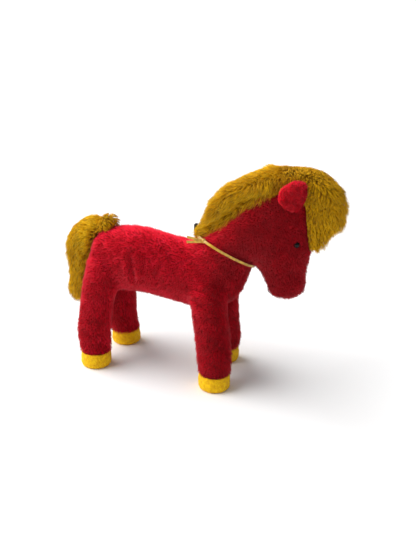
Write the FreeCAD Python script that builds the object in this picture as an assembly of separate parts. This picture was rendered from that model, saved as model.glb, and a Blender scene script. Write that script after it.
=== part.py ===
import FreeCAD, Part

import math
import os

# Stuffed plush horse, standing.
# Millimetres. +X towards the head, +Y the horse's left side, +Z up.
# The origin is the bottom centre of the whole toy's box.

Vector = FreeCAD.Vector

# ---------------------------------------------------------------------------
# Driving sizes
# ---------------------------------------------------------------------------

# Overall posture
stance_length = 176.0        # hind hoof axis to fore hoof axis, on the right side
stance_width = 84.0          # right hoof axis to left hoof axis
barrel_height = 145.0        # mid height of the barrel over the floor
left_fore_back = 16.0        # the left fore hoof stands this much further back
left_hind_ahead = 5.0        # the left hind hoof stands this much further ahead

# Skin
plush_thickness = 4.0        # backing and standing pile of the short red plush
stuffing_gap = 0.2           # skin to stuffing
part_gap = 0.4               # clearance between bodies that move on each other

# Barrel: ends of its main run, measured from the hoof axes
barrel_start_ahead = 12.0    # first section ahead of the hind hoof axis
barrel_end_behind = 19.0     # last section behind the fore hoof axis
rump_round = 33.0            # length of the rounded rear end
chest_round = 24.0           # length of the rounded front end
# share of the barrel's length, rise over barrel_height, half height, half width
barrel_sections = (
    (0.00, 2.0, 44.0, 40.0),
    (0.31, 4.0, 45.0, 42.5),
    (0.55, -0.5, 44.0, 39.5),
    (0.78, -5.0, 44.5, 37.5),
    (1.00, -10.0, 42.0, 37.0),
)

# Neck: a straight stack of ellipses square to its tilt, rooted in the shoulders
neck_tilt = 58.0             # degrees over the horizontal
neck_root_behind = 29.0      # root centre behind the fore hoof axis
neck_root_drop = 11.0        # root centre below barrel_height
neck_length = 107.0
neck_root_round = 18.0
neck_end_round = 30.0
# share of the neck's length, forward drift of the centre, half depth, half width
neck_sections = (
    (0.00, 0.0, 46.0, 32.0),
    (0.45, 1.0, 40.5, 31.0),
    (0.62, 4.0, 36.5, 30.5),
    (1.00, 19.0, 39.0, 30.0),
)

# Head: a column of ellipses from the poll down to the muzzle
head_tilt = 8.5              # degrees that the nose swings forward of straight down
poll_ahead = 64.0            # top section's centre ahead of the fore hoof axis
poll_rise = 105.0            # top section's centre over barrel_height
head_length = 109.0          # top section to last section
poll_round = 15.0
muzzle_round = 19.0
# share of the head's length, backward drift, half depth, half width
head_sections = (
    (0.00, 0.0, 38.0, 24.0),
    (0.31, 4.5, 42.5, 27.5),
    (0.59, 6.0, 42.0, 27.5),
    (0.80, 3.0, 31.5, 22.5),
    (1.00, 1.0, 25.5, 19.5),
)

# Legs: columns of level ellipses from the hoof's top edge up into the barrel
hind_leg_top = 145.0
fore_leg_top = 132.0
pile_overhang = 2.0          # leg plush stands out over the hoof's top edge
# share of the height, shift ahead of the hoof axis, shift inwards, radius X, radius Y
hind_leg_sections = (
    (0.00, 0.0, 1.0, 21.5, 22.0),
    (0.20, -4.0, 4.5, 24.0, 23.0),
    (0.56, 0.0, 8.5, 24.0, 22.0),
    (0.78, 5.0, 14.0, 27.0, 24.0),
    (1.00, 11.0, 21.0, 29.0, 25.0),
)
fore_leg_sections = (
    (0.00, 0.0, 1.0, 21.5, 21.5),
    (0.16, -1.5, 2.5, 23.5, 23.0),
    (0.42, -7.0, 9.5, 24.0, 23.5),
    (0.82, -15.0, 14.0, 24.5, 23.0),
    (1.00, -19.0, 20.0, 25.0, 21.5),
)
leg_top_round = 22.0         # height of the rounded top inside the barrel
leg_top_lean = 8.0           # the rounded top's shift towards the middle

# Hooves
hoof_diameter = 42.5
hoof_height = 22.0
hoof_velour = 1.5            # thickness of the hoof cloth
hoof_top_inset = 1.8         # top edge smaller than the widest ring, on the radius
sole_inset = 3.8             # sole smaller than the widest ring, on the radius
sole_rim = 1.0               # cup's turned-in edge around the sole
sole_thickness = 1.5
board_thickness = 2.0        # stiff insert over the sole

# Underbody gusset and face gusset
gusset_seam_height = 113.0   # belly seam over the floor
gusset_seam_half = 31.0      # belly seam from the middle
face_gusset_width = 18.0
face_gusset_start = 12.0     # gusset begins this far in front of the head's axis

# Eyes
eye_diameter = 8.0
eye_dome_height = 3.0
eye_share = 0.475            # share of the head's length, down from the poll
eye_turn = 32.0              # degrees that the eye looks forward of straight sideways
eye_sink = 2.4               # dome base below the pile's surface
eye_stem_diameter = 3.0
eye_stem_length = 12.0
washer_diameter = 14.0
washer_thickness = 1.5
washer_clearance = 0.05

# Mouth
mouth_share = 1.06           # share of the head's length
mouth_thread = 1.2
mouth_half_angle = 38.0      # degrees of the muzzle that the stitch spans, each way

# Ears: flattened cones, half buried in the edge of the mane
ear_base_share = 0.025       # share of the head's length, down from the poll
ear_ahead = 18.0             # base centre in front of the head's axis
ear_out = 22.0               # base centre from the middle
ear_length = 34.0
ear_lean = 24.0              # degrees forward
ear_spread = 14.0            # degrees outward
ear_half_width = 15.5
ear_half_thickness = 10.0
ear_tip_round = 8.0
ear_base_round = 6.0
ear_fold = 40.0              # degrees that an ear folds outward
ear_lining_share = 0.35      # share of the ear's thickness that is the lining

# Mane: a roll of long fur over the crest, ending as a forelock
mane_clear = 3.0             # fur roll over the plush: room for the tape and the ribbon
# ahead of the fore hoof axis, over barrel_height, half depth, half width
mane_sections = (
    (-36.0, 56.0, 9.0, 14.0),
    (-16.0, 82.0, 15.5, 20.5),
    (17.0, 116.0, 19.5, 24.0),
    (54.5, 132.0, 17.0, 22.5),
    (90.5, 134.5, 17.5, 21.5),
    (116.5, 121.5, 21.5, 20.5),
    (125.0, 101.0, 22.5, 19.0),
    (121.5, 76.0, 17.5, 16.0),
    (115.5, 55.5, 10.5, 11.0),
)
mane_start_round = 11.0
mane_end_round = 6.0

# Mane tape: black binding that carries the fur, with a folded end at the withers
tape_width = 7.0
tape_thickness = 1.2
tape_gap = 0.2               # plush to tape
tab_height = 11.0
tab_thickness = 4.0
tab_behind = 44.0            # tab behind the fore hoof axis
tab_rise = 58.0              # tab centre over barrel_height

# Ribbon
ribbon_width = 3.2
ribbon_thickness = 0.6
ribbon_gap = 1.8             # plush surface to the ribbon
ribbon_tilt = -23.0          # degrees: the throat side hangs lower
ribbon_roll = 16.0           # degrees: the right side sits higher
ribbon_behind = 25.0         # ribbon's plane at the crest, behind the fore hoof axis
ribbon_rise = 42.0           # the same, over barrel_height
ribbon_knot_size = 6.5
ribbon_knot_out = 20.5       # knot from the middle
ribbon_end_length = 23.0
ribbon_end_spread = 8.0      # degrees between the level and each end

# Tail: an arched fur sleeve on a sewn backing, hinged at the rump
tail_pivot_behind = -7.0     # pivot behind the hind hoof axis
tail_pivot_rise = 49.0       # pivot over barrel_height
tail_knot_radius = 3.5
tail_lift = 50.0             # degrees that the tail lifts
tail_sway = 28.0             # degrees that the tail sways to each side
# behind the hind hoof axis, over barrel_height, half depth, half width
tail_sections = (
    (-6.0, 53.5, 7.0, 7.0),
    (6.0, 47.0, 13.0, 12.0),
    (19.0, 39.0, 19.0, 17.0),
    (34.0, 26.0, 22.0, 20.0),
    (43.5, 5.0, 17.5, 17.0),
    (43.5, -25.0, 14.5, 14.5),
    (43.5, -52.0, 17.5, 17.0),
)
tail_start_round = 3.0
tail_end_round = 13.0
tail_backing_half = 4.0      # half size of the sewn fabric core
tail_backing_share = 0.8     # share of the tail's sections that the core follows

# ---------------------------------------------------------------------------
# Sizes that follow
# ---------------------------------------------------------------------------

hind_x = -stance_length / 2
fore_x = stance_length / 2
barrel_start = hind_x + barrel_start_ahead
barrel_end = fore_x - barrel_end_behind
barrel_length = barrel_end - barrel_start
hoof_radius = hoof_diameter / 2
hoof_top_radius = hoof_radius - hoof_top_inset
sole_radius = hoof_radius - sole_inset
section_points = 12
facet_points = 24
rows_per_span = 3
cap_angles = (76.0, 50.0, 24.0)
everything = 1000.0
side_names = {-1: "right", 1: "left"}


# ---------------------------------------------------------------------------
# Shape helpers
# ---------------------------------------------------------------------------

def ellipse_wire(centre, depth_axis, width_axis, half_depth, half_width):
    """A closed smooth curve through points of an ellipse."""
    points = []
    for index in range(section_points):
        angle = math.radians(360.0 * index / section_points)
        points.append(
            centre
            + depth_axis * (half_depth * math.cos(angle))
            + width_axis * (half_width * math.sin(angle))
        )
    curve = Part.BSplineCurve()
    curve.interpolate(Points=points, PeriodicFlag=True)
    return Part.Wire(curve.toShape())


def facet_wire(centre, depth_axis, width_axis, half_depth, half_width):
    """A closed many-sided wire through points of an ellipse."""
    points = []
    for index in range(facet_points):
        angle = math.radians(360.0 * (index + 0.5) / facet_points)
        points.append(
            centre
            + depth_axis * (half_depth * math.cos(angle))
            + width_axis * (half_width * math.sin(angle))
        )
    return Part.makePolygon(points + points[:1])


def smooth_rows(rows):
    """More rows between the given ones, on the smooth curve through them."""
    result = []
    last = len(rows) - 1
    for index in range(last):
        before = rows[max(index - 1, 0)]
        start = rows[index]
        end = rows[index + 1]
        after = rows[min(index + 2, last)]
        for step in range(rows_per_span):
            t = step / rows_per_span
            row = []
            for a, b, c, d in zip(before, start, end, after):
                slope_start = (c - a) / 2.0
                slope_end = (d - b) / 2.0
                row.append(
                    b * (2 * t ** 3 - 3 * t ** 2 + 1)
                    + slope_start * (t ** 3 - 2 * t ** 2 + t)
                    + c * (3 * t ** 2 - 2 * t ** 3)
                    + slope_end * (t ** 3 - t ** 2)
                )
            result.append(tuple(row))
    result.append(tuple(rows[last]))
    return result


def rounded_loft(rings, start_round, end_round, faceted=False):
    """A solid through rings of (centre, along, depth axis, width axis, half depth, half width).

    Each end is closed with a quarter-ellipse nose of the given length.
    """
    section = facet_wire if faceted else ellipse_wire
    wires = []
    centre, along, deep, wide, half_deep, half_wide = rings[0]
    for angle in cap_angles:
        share = math.cos(math.radians(angle))
        back = along * (-start_round * math.sin(math.radians(angle)))
        wires.append(section(centre + back, deep, wide, half_deep * share, half_wide * share))
    for centre, along, deep, wide, half_deep, half_wide in rings:
        wires.append(section(centre, deep, wide, half_deep, half_wide))
    for angle in reversed(cap_angles):
        share = math.cos(math.radians(angle))
        ahead = along * (end_round * math.sin(math.radians(angle)))
        wires.append(section(centre + ahead, deep, wide, half_deep * share, half_wide * share))
    return Part.makeLoft(wires, True, faceted)


def curved_rings(path, grow):
    """Rings square to a path in the middle plane, from (x, z, half depth, half width) rows."""
    rings = []
    last = len(path) - 1
    for index, (x, z, half_deep, half_wide) in enumerate(path):
        before = path[max(index - 1, 0)]
        after = path[min(index + 1, last)]
        along = Vector(after[0] - before[0], 0, after[1] - before[1]).normalize()
        deep = Vector(-along.z, 0, along.x)
        rings.append(
            (Vector(x, 0, z), along, deep, Vector(0, 1, 0), half_deep + grow, half_wide + grow)
        )
    return rings


def biggest(shape):
    """The largest solid of a boolean result."""
    return max(shape.Solids, key=lambda solid: solid.Volume)


def straight_tool(size_x, size_y, size_z, centre):
    """A box centred on a point."""
    corner = centre - Vector(size_x / 2, size_y / 2, size_z / 2)
    return Part.makeBox(size_x, size_y, size_z, corner)


def turned(shape, centre, axis, degrees):
    """A copy turned about an axis through a point."""
    copy = shape.copy()
    copy.rotate(centre, axis, degrees)
    return copy


# ---------------------------------------------------------------------------
# Outer forms, each with an allowance that grows or shrinks it
# ---------------------------------------------------------------------------

def barrel(grow):
    rings = []
    for share, rise, half_high, half_wide in barrel_sections:
        centre = Vector(barrel_start + share * barrel_length, 0, barrel_height + rise)
        rings.append(
            (centre, Vector(1, 0, 0), Vector(0, 0, 1), Vector(0, 1, 0), half_high + grow, half_wide + grow)
        )
    return rounded_loft(rings, rump_round + grow, chest_round + grow)


def neck_point(share, drift):
    """A point of the neck: up its axis by a share, and forward of it by a drift."""
    root = Vector(fore_x - neck_root_behind, 0, barrel_height - neck_root_drop)
    return root + neck_along() * (share * neck_length) - neck_deep() * drift


def neck_along():
    angle = math.radians(neck_tilt)
    return Vector(math.cos(angle), 0, math.sin(angle))


def neck_deep():
    """From the neck's middle towards the crest."""
    angle = math.radians(neck_tilt)
    return Vector(-math.sin(angle), 0, math.cos(angle))


def neck(grow):
    rings = []
    for share, drift, half_deep, half_wide in neck_sections:
        rings.append(
            (neck_point(share, drift), neck_along(), neck_deep(), Vector(0, 1, 0), half_deep + grow, half_wide + grow)
        )
    return rounded_loft(rings, neck_root_round, neck_end_round + grow)


def head_along():
    """From the poll down to the muzzle."""
    angle = math.radians(head_tilt)
    return Vector(math.sin(angle), 0, -math.cos(angle))


def head_deep():
    """From the head's middle towards the forehead."""
    angle = math.radians(head_tilt)
    return Vector(math.cos(angle), 0, math.sin(angle))


def head_point(share, drift):
    """A point of the head: down its axis by a share, and back of it by a drift."""
    poll = Vector(fore_x + poll_ahead, 0, barrel_height + poll_rise)
    return poll + head_along() * (share * head_length) - head_deep() * drift


def head(grow, faceted=False):
    rings = []
    for share, drift, half_deep, half_wide in head_sections:
        rings.append(
            (head_point(share, drift), head_along(), head_deep(), Vector(0, 1, 0), half_deep + grow, half_wide + grow)
        )
    return rounded_loft(rings, poll_round + grow, muzzle_round + grow, faceted)


def head_size(share):
    """Backward drift, half depth and half width of the head at a share of its length."""
    for low, high in zip(head_sections, head_sections[1:]):
        if share <= high[0]:
            part = (share - low[0]) / (high[0] - low[0])
            return [a + (b - a) * part for a, b in zip(low[1:], high[1:])]
    return list(head_sections[-1][1:])


def foot_point(end, side):
    """The middle of a hoof's sole."""
    if end == "rear":
        x = hind_x + (left_hind_ahead if side > 0 else 0.0)
    else:
        x = fore_x - (left_fore_back if side > 0 else 0.0)
    return Vector(x, side * stance_width / 2, 0)


def leg(end, side, grow):
    sections = hind_leg_sections if end == "rear" else fore_leg_sections
    top = hind_leg_top if end == "rear" else fore_leg_top
    right_foot = foot_point(end, -1)
    foot = foot_point(end, side)
    wires = []
    for share, ahead, inward, radius_x, radius_y in smooth_rows(sections):
        # The left leg leans back to the common place of its top.
        x = foot.x + (right_foot.x - foot.x) * share + ahead
        centre = Vector(x, foot.y - side * inward, hoof_height + share * (top - hoof_height))
        wires.append(
            ellipse_wire(centre, Vector(1, 0, 0), Vector(0, 1, 0), radius_x + grow, radius_y + grow)
        )
    for angle in reversed(cap_angles):
        height = math.sin(math.radians(angle))
        share = math.cos(math.radians(angle))
        shift = Vector(0, -side * leg_top_lean * height, (leg_top_round + grow) * height)
        wires.append(ellipse_wire(
            centre + shift, Vector(1, 0, 0), Vector(0, 1, 0), (radius_x + grow) * share, (radius_y + grow) * share
        ))
    return Part.makeLoft(wires, True, False)


leg_places = [(end, side) for end in ("front", "rear") for side in (-1, 1)]


def leg_name(end, side):
    return end + "_" + side_names[side]


def body(grow):
    """Barrel, neck, head and legs in one, grown by an allowance."""
    parts = [neck(grow), head(grow)] + [leg(end, side, grow) for end, side in leg_places]
    return barrel(grow).multiFuse(parts)


# ---------------------------------------------------------------------------
# Skin
# ---------------------------------------------------------------------------

def underbody_tool():
    """The trapezoid between the inner leg seams and under the belly seams."""
    half_foot = stance_width / 2
    corners = [
        Vector(-everything / 2, -half_foot, 0),
        Vector(-everything / 2, half_foot, 0),
        Vector(-everything / 2, gusset_seam_half, gusset_seam_height),
        Vector(-everything / 2, -gusset_seam_half, gusset_seam_height),
    ]
    face = Part.Face(Part.makePolygon(corners + corners[:1]))
    tool = face.extrude(Vector(everything, 0, 0))
    # It ends under the neck, so that the throat and jaw stay with the side panels.
    front = fore_x + hoof_radius + chest_round
    keep = Part.makeBox(
        front + everything / 2, everything, everything, Vector(-everything / 2, -everything / 2, 0)
    )
    return tool.common(keep)


def face_tool():
    """The strip down the forehead, over the nose and under the muzzle."""
    tool = Part.makeBox(
        everything, face_gusset_width, everything,
        Vector(face_gusset_start, -face_gusset_width / 2, -everything / 2),
    )
    tool.rotate(Vector(0, 0, 0), Vector(0, 1, 0), -head_tilt)
    tool.translate(head_point(0.0, 0.0))
    return tool


def skin_panels(outer, hollow, drilled):
    """The four plush panels: two sides, the underbody and the face."""
    shell = outer.cut(hollow).cut(drilled)
    under = underbody_tool()
    face = face_tool()
    sides = shell.cut(under).cut(face)
    right_half = Part.makeBox(
        everything, everything, everything, Vector(-everything / 2, -everything, -everything / 2)
    )
    right = sides.common(right_half)
    left = sides.cut(right_half)
    return {
        "side_panel_right": biggest(right),
        "side_panel_left": biggest(left),
        "underbody_gusset": biggest(shell.common(under)),
        "face_gusset": biggest(shell.common(face)),
    }


# ---------------------------------------------------------------------------
# Hooves
# ---------------------------------------------------------------------------

def ring_solid(points, curved_from, curved_to):
    """Turns a closed half profile of (radius, z) points about Z; a stretch is one smooth curve."""
    vectors = [Vector(radius, 0, z) for radius, z in points]
    edges = []
    curve = Part.BSplineCurve()
    curve.interpolate(vectors[curved_from:curved_to + 1])
    edges.append(curve.toShape())
    rest = vectors[curved_to:] + vectors[:curved_from + 1]
    for start, end in zip(rest, rest[1:]):
        edges.append(Part.makeLine(start, end))
    return Part.Face(Part.Wire(edges)).revolve(Vector(0, 0, 0), Vector(0, 0, 1), 360)


def hoof_outline(inset):
    """The hoof's outer curve from the sole's rim to the top edge, drawn in by an inset."""
    rim = sole_radius + sole_rim
    return [
        (rim - inset, 0.0),
        ((rim + hoof_radius) / 2 + 0.8 - inset, hoof_height * 0.12),
        (hoof_radius - inset, hoof_height * 0.38),
        (hoof_radius - 0.4 - inset, hoof_height * 0.7),
        (hoof_top_radius - inset, hoof_height),
    ]


def hoof_cup():
    outline = hoof_outline(0.0)
    outer = ring_solid([(0.0, 0.0)] + outline + [(0.0, hoof_height)], 1, len(outline))
    return outer.cut(hoof_core()).cut(hoof_sole())


def hoof_sole():
    return Part.makeCylinder(sole_radius, sole_thickness)


def sole_board():
    return Part.makeCylinder(sole_radius - stuffing_gap, board_thickness, Vector(0, 0, sole_thickness))


def hoof_core():
    """The space inside the hoof cloth, over the sole."""
    outline = hoof_outline(hoof_velour)
    tall = ring_solid([(0.0, 0.0)] + outline + [(0.0, hoof_height)], 1, len(outline))
    floor = Part.makeCylinder(hoof_diameter, sole_thickness)
    return tall.cut(floor)


def hooves():
    nodes = {}
    for end, side in leg_places:
        name = leg_name(end, side)
        place = foot_point(end, side)
        for node, shape in (
            ("hoof_cup_", hoof_cup()), ("hoof_sole_", hoof_sole()), ("sole_board_", sole_board()),
        ):
            shape.translate(place)
            nodes[node + name] = shape
    return nodes


# ---------------------------------------------------------------------------
# Stuffing
# ---------------------------------------------------------------------------

def stuffing(drilled):
    """Fibre filling: torso, neck, head and legs, each ending on its neighbour."""
    shrink = -plush_thickness - stuffing_gap
    torso = barrel(shrink)
    neck_fill = neck(shrink)
    head_fill = head(shrink)
    nodes = {
        "stuffing_torso": torso,
        "stuffing_neck": biggest(neck_fill.cut(torso)),
        "stuffing_head": biggest(head_fill.cut(neck_fill).cut(torso).cut(drilled)),
    }
    for end, side in leg_places:
        foot = foot_point(end, side)
        core = hoof_core()
        board = Part.makeCylinder(hoof_diameter, sole_thickness + board_thickness)
        core = core.cut(board)
        core.translate(foot)
        upper = leg(end, side, shrink)
        fill = core.fuse(upper).cut(torso).cut(neck_fill)
        nodes["stuffing_leg_" + leg_name(end, side)] = biggest(fill)
    return nodes


# ---------------------------------------------------------------------------
# Eyes and mouth
# ---------------------------------------------------------------------------

def eye_place(side):
    """The pile's surface point at the eye, and the direction the eye looks."""
    drift, half_deep, half_wide = head_size(eye_share)
    tangent = half_wide / half_deep * math.tan(math.radians(eye_turn))
    # Angle round the section at which its outward normal has the eye's turn.
    angle = math.atan2(1.0, tangent * half_deep / half_wide * half_deep / half_wide)
    centre = head_point(eye_share, drift)
    surface = (
        centre
        + head_deep() * (half_deep * math.cos(angle))
        + Vector(0, side, 0) * (half_wide * math.sin(angle))
    )
    turn = math.radians(eye_turn)
    look = head_deep() * math.sin(turn) + Vector(0, side, 0) * math.cos(turn)
    return surface, look.normalize()


def eye_shapes(side):
    """Dome with stem, and the washer that locks it behind the plush."""
    surface, look = eye_place(side)
    base = surface - look * eye_sink
    dome_radius = eye_diameter / 2
    sphere_radius = (dome_radius ** 2 + eye_dome_height ** 2) / (2 * eye_dome_height)
    ball = Part.makeSphere(sphere_radius, base - look * (sphere_radius - eye_dome_height))
    column = Part.makeCylinder(dome_radius, eye_dome_height * 2, base, look)
    dome = ball.common(column)
    stem = Part.makeCylinder(eye_stem_diameter / 2, eye_stem_length, base - look * eye_stem_length, look)
    eye = dome.fuse(stem).removeSplitter()
    washer_base = surface - look * (plush_thickness + stuffing_gap + washer_thickness)
    washer = Part.makeCylinder(washer_diameter / 2, washer_thickness, washer_base, look)
    bore = eye_stem_diameter / 2 + washer_clearance
    washer = washer.cut(Part.makeCylinder(bore, eye_stem_length, base - look * eye_stem_length, look))
    return eye, washer


def eye_room(side):
    """Space that the eye and its washer take out of the plush and the stuffing."""
    surface, look = eye_place(side)
    base = surface - look * eye_sink
    pit = Part.makeCylinder(eye_diameter / 2 + stuffing_gap, eye_sink + plush_thickness, base, look)
    stem_room = Part.makeCylinder(
        eye_stem_diameter / 2 + stuffing_gap,
        eye_stem_length + stuffing_gap,
        base - look * (eye_stem_length + stuffing_gap),
        look,
    )
    washer_base = surface - look * (plush_thickness + stuffing_gap * 2 + washer_thickness)
    washer_room = Part.makeCylinder(
        washer_diameter / 2 + stuffing_gap, washer_thickness + stuffing_gap * 2, washer_base, look
    )
    return pit.multiFuse([stem_room, washer_room])


def mouth_stitch(outer):
    """A thread round the back of the muzzle."""
    drift, half_deep, half_wide = head_size(1.0)
    squeeze = math.sqrt(1.0 - ((mouth_share - 1.0) * head_length / muzzle_round) ** 2)
    centre = head_point(mouth_share, drift)
    points = []
    for step in range(7):
        angle = math.radians(180.0 - mouth_half_angle + mouth_half_angle * step / 3.0)
        points.append(
            centre
            + head_deep() * (half_deep * squeeze * math.cos(angle))
            + Vector(0, 1, 0) * (half_wide * squeeze * math.sin(angle))
        )
    curve = Part.BSplineCurve()
    curve.interpolate(points)
    path = Part.Wire(curve.toShape())
    start = curve.value(curve.FirstParameter)
    tangent = curve.tangent(curve.FirstParameter)[0]
    profile = Part.Wire(Part.makeCircle(mouth_thread / 2, start, tangent))
    return path.makePipeShell([profile], True, True).cut(outer)


# ---------------------------------------------------------------------------
# Ears
# ---------------------------------------------------------------------------

def ear_place(side):
    """Base centre of an ear, and its three directions: up, forward width, outward thickness."""
    drift = head_size(ear_base_share)[0]
    base = head_point(ear_base_share, drift) + head_deep() * ear_ahead + Vector(0, side * ear_out, 0)
    lean = math.radians(ear_lean)
    spread = math.radians(ear_spread)
    up = Vector(math.sin(lean) * math.cos(spread), side * math.sin(spread), math.cos(lean) * math.cos(spread))
    wide = Vector(math.cos(lean), 0, -math.sin(lean))
    thick = up.cross(wide) * -side
    return base, up, wide, thick.normalize()


# share of the ear's length, share of its half width, share of its half thickness
ear_sections = ((0.0, 0.9, 1.0), (0.35, 1.0, 1.0), (0.7, 0.88, 0.9), (1.0, 0.62, 0.68))


def ear_form(side, grow):
    base, up, wide, thick = ear_place(side)
    rings = []
    for share, width_share, thick_share in ear_sections:
        rings.append((
            base + up * (share * ear_length), up, wide, thick,
            ear_half_width * width_share + grow, ear_half_thickness * thick_share + grow,
        ))
    return rounded_loft(rings, ear_base_round, ear_tip_round + grow)


def ears(clear_body):
    """Each ear as a back and a lining, cut clear of the head over its whole fold."""
    nodes = {}
    for side in (-1, 1):
        base, up, wide, thick = ear_place(side)
        ear = ear_form(side, 0.0)
        for step in range(4):
            angle = ear_fold * step / 3.0
            ear = ear.cut(turned(clear_body, base, wide, side * angle))
        ear = biggest(ear)
        split = Part.makeBox(everything, everything, everything)
        split.translate(Vector(-everything / 2, -everything / 2, 0))
        turn = FreeCAD.Rotation(Vector(0, 0, 1), wide)
        split.Placement = FreeCAD.Placement(
            base + wide * (ear_half_width * (1.0 - 2.0 * ear_lining_share)), turn
        ).multiply(split.Placement)
        name = side_names[side]
        nodes["ear_lining_" + name] = biggest(ear.common(split))
        nodes["ear_back_" + name] = biggest(ear.cut(split))
    return nodes


# ---------------------------------------------------------------------------
# Mane and its tape
# ---------------------------------------------------------------------------

def mane_form(grow):
    path = []
    for ahead, rise, half_deep, half_wide in mane_sections:
        path.append((fore_x + ahead, barrel_height + rise, half_deep, half_wide))
    return rounded_loft(curved_rings(path, grow), mane_start_round, mane_end_round)


def mane_tape(near_body):
    """A strip along the crest under the fur, with its folded end standing at the withers."""
    tab_top = Vector(fore_x - tab_behind, 0, barrel_height + tab_rise + tab_height / 2)
    tab_foot = Vector(fore_x - tab_behind, 0, barrel_height + tab_rise - tab_height)
    inner = [tab_foot]
    lift = tape_gap + tape_thickness * 2
    for share, drift, half_deep, half_wide in neck_sections[1:]:
        inner.append(neck_point(share, drift) + neck_deep() * (half_deep + lift))
    spine = Part.BSplineCurve()
    spine.interpolate(inner)
    half = Vector(0, tape_width / 2, 0)
    start = spine.value(spine.FirstParameter)
    tangent = spine.tangent(spine.FirstParameter)[0]
    square = Vector(-tangent.z, 0, tangent.x) * (tape_thickness / 2)
    corners = [start - half - square, start + half - square, start + half + square, start - half + square]
    profile = Part.makePolygon(corners + corners[:1])
    strip = Part.Wire(spine.toShape()).makePipeShell([profile], True, True)
    tab = straight_tool(tab_thickness, tape_width, tab_height, Vector(tab_top.x, 0, barrel_height + tab_rise))
    tab = tab.makeFillet(tab_thickness * 0.4, tab.Edges)
    stem_height = tab_top.z - tab_foot.z - tab_height / 2
    stem = straight_tool(
        tape_thickness, tape_width, stem_height, Vector(tab_top.x, 0, tab_foot.z + stem_height / 2)
    )
    return biggest(strip.multiFuse([stem, tab]).cut(near_body))


# ---------------------------------------------------------------------------
# Ribbon
# ---------------------------------------------------------------------------

def ribbon_knot_place():
    rise = ribbon_rise + ribbon_knot_out * math.tan(math.radians(ribbon_roll))
    return Vector(fore_x - ribbon_behind, -ribbon_knot_out, barrel_height + rise)


def ribbon(near_body):
    """The loop round the neck, the knot on its right side and the two short ends."""
    inner = ribbon_gap
    slab = Part.makeBox(
        everything, everything, ribbon_width, Vector(-everything / 2, -everything / 2, -ribbon_width / 2)
    )
    slab.rotate(Vector(0, 0, 0), Vector(1, 0, 0), -ribbon_roll)
    slab.rotate(Vector(0, 0, 0), Vector(0, 1, 0), -ribbon_tilt)
    slab.translate(Vector(fore_x - ribbon_behind, 0, barrel_height + ribbon_rise))
    loop = neck(inner + ribbon_thickness).common(slab).cut(neck(inner)).cut(near_body)
    place = ribbon_knot_place()
    knot = Part.makeSphere(ribbon_knot_size / 2, place).cut(near_body)
    nodes = {"ribbon_loop": biggest(loop.cut(knot)), "ribbon_knot": biggest(knot)}
    for name, slope in (("ribbon_end_upper", ribbon_end_spread), ("ribbon_end_lower", -ribbon_end_spread)):
        strip = Part.makeBox(
            ribbon_end_length, ribbon_thickness, ribbon_width,
            Vector(-ribbon_end_length, -ribbon_thickness / 2, -ribbon_width / 2),
        )
        strip.rotate(Vector(0, 0, 0), Vector(0, 1, 0), slope)
        outward = ribbon_thickness if slope > 0 else -ribbon_thickness
        strip.translate(place + Vector(0, -ribbon_knot_size / 4 + outward, 0))
        nodes[name] = biggest(strip.cut(knot).cut(near_body))
    return nodes


# ---------------------------------------------------------------------------
# Tail
# ---------------------------------------------------------------------------

def tail_pivot():
    return Vector(hind_x - tail_pivot_behind, 0, barrel_height + tail_pivot_rise)


def tail_path():
    path = []
    for behind, rise, half_deep, half_wide in tail_sections:
        path.append((hind_x - behind, barrel_height + rise, half_deep, half_wide))
    return path


def tail_poses():
    """Pairs of sway and lift that the tail's fur is cut clear of the rump at."""
    poses = [(tail_sway * step / 3.0, 0.0) for step in range(-3, 4)]
    for sway in (-tail_sway, 0.0, tail_sway):
        poses += [(sway, tail_lift / 2), (sway, tail_lift)]
    return poses


def tail(clear_body):
    """Fur sleeve, sewn backing and root knot, cut clear of the rump over the tail's travel."""
    pivot = tail_pivot()
    path = tail_path()
    fur = rounded_loft(curved_rings(path, 0.0), tail_start_round, tail_end_round)
    core_path = [(x, z, tail_backing_half, tail_backing_half) for x, z, deep, wide in path]
    core_count = max(3, round(len(core_path) * tail_backing_share))
    core = rounded_loft(curved_rings(core_path[:core_count], 0.0), 1.0, tail_backing_half)
    room = Part.makeSphere(tail_knot_radius + part_gap, pivot)
    rump = barrel(part_gap).multiFuse([leg("rear", -1, part_gap), leg("rear", 1, part_gap)])
    for sway, lift in tail_poses():
        # The tail sways about X and then lifts about Y, so the rump turns back in reverse.
        back = turned(rump, pivot, Vector(1, 0, 0), -sway)
        back = turned(back, pivot, Vector(0, 1, 0), -lift)
        fur = fur.cut(back)
        core = core.cut(back)
    core = biggest(core.cut(room))
    fur = biggest(fur.cut(room))
    fur = biggest(fur.cut(core))
    knot = Part.makeSphere(tail_knot_radius, pivot).cut(clear_body)
    return {"tail_fur": fur, "tail_backing": core, "tail_knot": biggest(knot)}


# ---------------------------------------------------------------------------
# The whole toy
# ---------------------------------------------------------------------------

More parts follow.
